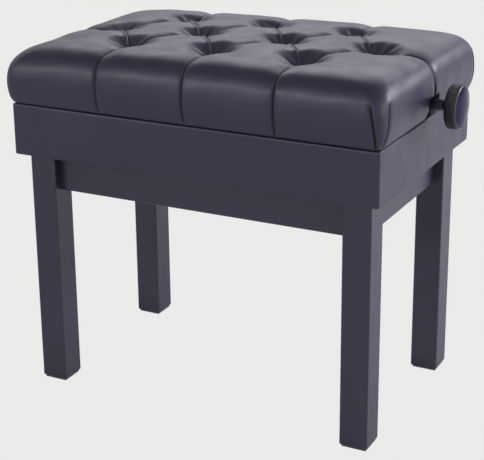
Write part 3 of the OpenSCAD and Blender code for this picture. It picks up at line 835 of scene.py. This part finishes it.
def build_skirt():
    """Leather round the skirt boards, turned over their top and bottom edges."""
    board_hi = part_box("skirt_front")[1]
    thick = skirt_hi.x - board_hi.x
    inner = skirt_hi.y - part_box("skirt_right")[1].y
    top = skirt_hi.z - skirt_lo.z
    edge = 1.8 * MM
    outer = [
        (-inner, top),
        (-0.6 * inner, top),
        (-edge, top),
        (-0.3 * edge, top - 0.3 * edge),
        (0, top - edge),
        *[(0, h) for h in np.linspace(top - 2.5 * edge, 2.5 * edge, 24)],
        (0, edge),
        (-0.3 * edge, 0.3 * edge),
        (-edge, 0),
        (-0.6 * inner, 0),
        (-inner, 0),
    ]
    lining = [
        (-inner, thick),
        (-thick, thick),
        (-thick, top - thick),
        (-inner, top - thick),
    ]
    long_side = Side(HALF_L - 5 * MM, 0.0, 0, 90, 5)
    short_side = Side(HALF_W - 5 * MM, 0.0, 0, 56, 5)
    around = 2 * (long_side.count + short_side.count - 2)
    points = []
    for outset, height in outer + lining:
        radius = max(2.2 * MM + outset, 0.3 * MM)
        ring = ring_points(long_side, short_side, HALF_L + outset, HALF_W + outset, radius)
        points.append(np.column_stack([ring, np.full(around, skirt_lo.z + height)]))
    points = np.vstack(points)
    rings = len(outer) + len(lining)
    faces = flipped(loop_faces(rings, around))
    last = (rings - 1) * around
    for i in range(around):
        j = (i + 1) % around
        faces.append((i, j, last + j, last + i))
    skirt = mesh_piece("skirt_leather", points, faces, LEATHER_SEAMS_AND_PAINTED_SHADE, "seat")
    shape_skirt(skirt, points, len(outer) * around)
    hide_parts("skirt_cover")


def shape_skirt(skirt, points, outside):
    """Slight softness of the leather, and a closed seam down each corner, its dark line with
    painted shade in its groove.
    """
    skin = points[:outside]
    x, y, z = skin.T
    corner = corner_distance(x, y, HALF_L, HALF_W, 2.2 * MM)
    seam = np.where(np.abs(y) > HALF_W - 1.5 * MM, corner - 3.2 * MM, 1.0)
    at_x = np.abs(x) > HALF_L - 0.5 * MM
    at_y = np.abs(y) > HALF_W - 0.5 * MM
    away = np.column_stack([at_x, at_y]) * np.sign(skin[:, :2])
    above = blend_step(z - skirt_lo.z, 0, 12 * MM)
    below = blend_step(skirt_hi.z - z, 0, 12 * MM)
    soft = 0.30 * MM * waves(skin, 160 * MM, 11) + 0.12 * MM * waves(skin, 50 * MM, 12)
    soft *= above * below
    shaped = points.copy()
    shaped[:outside, :2] += away * (soft - 0.7 * MM * valley(seam, 2.2 * MM))[:, None]
    skirt.data.vertices.foreach_set("co", shaped.ravel())
    # Dark corner seam line, with painted shade in its groove
    mark_seam_and_painted_shade(skirt.data, 0.8 * blend_step(np.abs(seam), 1.0 * MM, 0.3 * MM))


# ---- Knobs and screw ----

KNOB_RIBS = 64  # as many as the CAD knob has
RIB_DEEP = 1.2 * MM


def turned(name, centre, outline, ribs, steps, material):
    """A piece turned about the X axis; outline is (x, radius, how ribbed it is)."""
    angle = np.linspace(0, 2 * math.pi, steps, endpoint=False)
    groove = np.clip(1.5 * np.abs(np.sin(0.5 * ribs * angle)), 0, 1) ** 0.8
    points = []
    for x, radius, ribbed in outline:
        r = radius - ribbed * RIB_DEEP * (1 - groove)
        across = centre.y + r * np.cos(angle)
        up = centre.z + r * np.sin(angle)
        points.append(np.column_stack([np.full(steps, centre.x + x), across, up]))
    faces = capped_tube(len(outline), steps)
    if outline[-1][0] > outline[0][0]:
        faces = flipped(faces)
    return mesh_piece(name, np.vstack(points), faces, material, "screw")


def build_knob(side, sign):
    """Ribbed rim with rounded edges and a hub, and a polished domed face let into it."""
    lo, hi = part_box("knob_" + side)
    cap_lo, cap_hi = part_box("knob_cap_" + side)
    radius = (hi.z - lo.z) / 2
    cap_x = cap_lo.x if sign > 0 else cap_hi.x
    centre = Vector((cap_x, (lo.y + hi.y) / 2, (lo.z + hi.z) / 2))
    length = hi.x - lo.x
    hub = 2 * MM
    rim = length - hub
    hub_r = 8.5 * MM
    outline = [
        (-length, hub_r - 0.5 * MM, 0),
        (-length + 0.5 * MM, hub_r, 0),
        (-rim - 0.4 * MM, hub_r, 0),
        (-rim, hub_r + 0.6 * MM, 0),
        (-rim, 0.86 * radius, 0),
        (-rim + 0.3 * MM, radius - 2.2 * MM, 0),
        (-rim + 1.0 * MM, radius - 1.0 * MM, 0.4),
        (-rim + 1.9 * MM, radius - 0.2 * MM, 0.9),
        (-rim + 2.6 * MM, radius, 1),
        *[(x, radius, 1) for x in np.linspace(-rim + 4 * MM, -4 * MM, 5)],
        (-2.4 * MM, radius, 1),
        (-1.6 * MM, radius - 0.3 * MM, 0.9),
        (-0.8 * MM, radius - 1.0 * MM, 0.4),
        (-0.2 * MM, radius - 1.9 * MM, 0),
        (0, radius - 2.4 * MM, 0),
        (-0.7 * MM, radius - 3.0 * MM, 0),
    ]
    outline = [(sign * x, r, ribbed) for x, r, ribbed in outline]
    rim_piece = turned(
        "knob_rim_" + side,
        centre,
        outline,
        KNOB_RIBS,
        6 * KNOB_RIBS,
        BLACK_PLASTIC,
    )
    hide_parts("knob_" + side)
    dome = cap_hi.x - cap_lo.x
    cap_r = radius - 2.9 * MM
    shares = np.sin(np.linspace(0.02, 1, 20) * math.pi / 2)[::-1]
    face = [(-1.5 * MM, cap_r, 0), (-0.6 * MM, cap_r, 0)]
    face += [(dome * (1 - s**2), cap_r * s, 0) for s in shares]
    face = [(sign * x, r, ribbed) for x, r, ribbed in face]
    cap = turned("knob_face_" + side, centre, face, 0, 96, KNOB_FACE)
    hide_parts("knob_cap_" + side)


def build_screw():
    """The adjusting screw with its thread cut along the whole length."""
    lo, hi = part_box("screw_shaft")
    radius = (hi.z - lo.z) / 2
    pitch = 3 * MM
    deep = 1.1 * MM
    per_turn = 8
    steps = 20
    count = round((hi.x - lo.x) / pitch * per_turn) + 1
    x = np.linspace(lo.x, hi.x, count)
    angle = np.linspace(0, 2 * math.pi, steps, endpoint=False)
    turns = x[:, None] / pitch - angle[None, :] / (2 * math.pi)
    ridge = np.abs(2 * (turns - np.floor(turns)) - 1)
    r = radius - deep * np.clip(1.5 * ridge - 0.25, 0, 1)
    r[0] = r[-1] = radius - deep
    centre_z = (lo.z + hi.z) / 2
    along = np.broadcast_to(x[:, None], r.shape)
    points = np.stack([along, r * np.cos(angle), centre_z + r * np.sin(angle)], axis=2)
    screw = mesh_piece(
        "screw_thread",
        points.reshape(-1, 3),
        flipped(capped_tube(count, steps)),
        SCREW_STEEL,
        "screw",
    )
    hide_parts("screw_shaft")


# ---- Carried-over CAD nodes ----


# The material of each CAD node that stays; a node takes the first start that fits it
NODE_MATERIALS = [
    ("leg_", LACQUER["z"]),
    ("rail_dowels", WOOD["x"]),
    ("rail_front", LACQUER["x"]),
    ("rail_back", LACQUER["x"]),
    ("rail_", LACQUER["y"]),
    ("seat_board", WOOD["x"]),
    ("seat_frame_front", WOOD["x"]),
    ("seat_frame_back", WOOD["x"]),
    ("skirt_front", WOOD["x"]),
    ("skirt_back", WOOD["x"]),
    ("batten", WOOD["y"]),
    ("seat_frame", WOOD["y"]),
    ("skirt_left", WOOD["y"]),
    ("skirt_right", WOOD["y"]),
    ("corner_blocks", WOOD["z"]),
    ("foot_pads", FELT),
    ("shaft_bushes", NYLON),
    ("tuft_anchors", BLACK_PLASTIC),
    ("tuft_ties", LEATHER_PLAIN),
    ("lower_channel", BLACK_STEEL),
    ("lower_cross", BLACK_STEEL),
    ("outer_arm", BLACK_STEEL),
    ("inner_arm", BLACK_STEEL),
    ("upper_c", BLACK_STEEL),
    ("shaft_collars", BLACK_STEEL),
]


def node_material(name):
    """The material of a CAD node, with its grain along the part's length."""
    for start, material in NODE_MATERIALS:
        if name.startswith(start):
            return material
    return ZINC


def finish_node(name, node):
    """Gives a CAD node its material, and breaks its sharp edges where it is hard."""
    node.data.materials.clear()
    node.data.materials.append(node_material(name))
    if name in ("foot_pads", "tuft_ties", "tuft_anchors"):
        return
    weld = node.modifiers.new("weld", "WELD")
    weld.merge_threshold = 0.01 * MM
    wooden = name.startswith(("leg_", "rail_", "seat_", "skirt_", "batten", "corner"))
    bevel = node.modifiers.new("broken_edges", "BEVEL")
    bevel.width = (0.7 if wooden else 0.3) * MM
    bevel.segments = 2
    bevel.limit_method = "ANGLE"
    bevel.angle_limit = math.radians(40)


# ---- Studio ----


def stage_mesh(name, corners, faces, kind, outlet, **inputs):
    """A mesh of the studio with one plain shader of its own."""
    mesh = bpy.data.meshes.new(name)
    mesh.from_pydata(corners, [], faces)
    piece = bpy.data.objects.new(name, mesh)
    bpy.context.scene.collection.objects.link(piece)
    material = bpy.data.materials.new(name)
    material.use_nodes = True
    material.node_tree.nodes.clear()
    output = add_node(material, "ShaderNodeOutputMaterial")
    shader = add_node(material, kind, **inputs)
    link(material, shader.outputs[outlet], output.inputs["Surface"])
    mesh.materials.append(material)
    return piece


ROOM_HALF = 30.0  # half the studio's width and depth, and its height


def floor_corners(height):
    """A square round the bench at one height."""
    signs = ((-1, -1), (1, -1), (1, 1), (-1, 1))
    return [(x * ROOM_HALF, y * ROOM_HALF, height) for x, y in signs]


def build_floor():
    """A plain pale floor and walls for the camera, and a matt floor that bounces light."""
    seen = stage_mesh(
        "floor_seen",
        floor_corners(-2 * MM) + floor_corners(ROOM_HALF),
        [(0, 1, 2, 3), (0, 1, 5, 4), (1, 2, 6, 5), (2, 3, 7, 6), (3, 0, 4, 7)],
        "ShaderNodeEmission",
        "Emission",
        Color=PALE,
        Strength=1.0,
    )
    seen.visible_diffuse = False
    seen.visible_glossy = False
    seen.visible_transmission = False
    seen.visible_shadow = False
    bounce = stage_mesh(
        "floor_bounce",
        floor_corners(-1 * MM),
        [(0, 1, 2, 3)],
        "ShaderNodeBsdfDiffuse",
        "BSDF",
        Color=(0.80, 0.80, 0.79, 1.0),
    )
    bounce.visible_camera = False


def build_world():
    """Studio surround: brightest a little above the horizon, dimmer overhead."""
    world = bpy.data.worlds.new("studio")
    world.use_nodes = True
    bpy.context.scene.world = world
    nodes, links = world.node_tree.nodes, world.node_tree.links
    coordinates = nodes.new("ShaderNodeTexCoord")
    split = nodes.new("ShaderNodeSeparateXYZ")
    shade = nodes.new("ShaderNodeValToRGB")
    stops = [
        (0.0, (0.36, 0.36, 0.38)),
        (0.1, (0.52, 0.51, 0.56)),
        (0.27, (1.15, 1.12, 1.20)),
        (0.5, (0.50, 0.50, 0.53)),
        (0.8, (0.30, 0.30, 0.33)),
    ]
    fill_ramp(shade, stops)
    links.new(coordinates.outputs["Generated"], split.inputs["Vector"])
    links.new(split.outputs["Z"], shade.inputs["Fac"])
    links.new(shade.outputs["Color"], nodes["Background"].inputs["Color"])


def softbox(name, place, target, size, radiance):
    """An area light at place facing target; size is (width, height)."""
    data = bpy.data.lights.new(name, "AREA")
    data.shape = "RECTANGLE"
    data.color = (1.0, 0.98, 1.12)
    data.size, data.size_y = size
    data.energy = radiance * math.pi * size[0] * size[1]
    light = bpy.data.objects.new(name, data)
    light.location = place
    aim = Vector(target) - Vector(place)
    light.rotation_euler = aim.to_track_quat("-Z", "Y").to_euler()
    bpy.context.scene.collection.objects.link(light)


def build_lights():
    """A key light behind on the right, a wide one beside it, a front strip, a back glow."""
    seat_middle = (0.0, 0.0, 0.45)
    softbox("key_right", (2.5, 2.3, 1.6), seat_middle, (1.1, 0.9), 22.5)
    softbox("side_right", (3.2, -0.4, 1.3), seat_middle, (1.6, 1.6), 3.6)
    softbox("front_strip", (-1.75, -3.6, 1.62), seat_middle, (2.6, 0.5), 10.5)
    softbox("back_glow", (-0.9, 3.9, 2.5), seat_middle, (4.2, 1.1), 2.5)


def build_camera():
    """The camera, turned by yaw, pitch and roll from looking along +Y."""
    yaw, pitch, roll = (math.radians(a) for a in (-27.36, -18.57, -0.55))
    ahead = Vector((math.sin(yaw), math.cos(yaw), 0))
    forward = ahead * math.cos(pitch) + Vector((0, 0, math.sin(pitch)))
    level = Vector((math.cos(yaw), -math.sin(yaw), 0))
    upward = level.cross(forward)
    right = level * math.cos(roll) + upward * math.sin(roll)
    up = upward * math.cos(roll) - level * math.sin(roll)
    data = bpy.data.cameras.new("camera")
    data.sensor_width = 36.0
    data.lens = 102.73
    data.shift_y = -0.0826
    camera = bpy.data.objects.new("camera", data)
    turn = Matrix((right, up, -forward)).transposed()
    camera.matrix_world = Matrix.Translation((0.8666, -1.6821, 0.9199)) @ turn.to_4x4()
    bpy.context.scene.collection.objects.link(camera)
    bpy.context.scene.camera = camera


bpy.context.scene.view_settings.view_transform = "Standard"
build_cushion()
build_skirt()
for side, sign in (("left", -1), ("right", 1)):
    build_knob(side, sign)
build_screw()
for name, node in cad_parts.items():
    finish_node(name, node)
build_floor()
build_world()
build_lights()
build_camera()
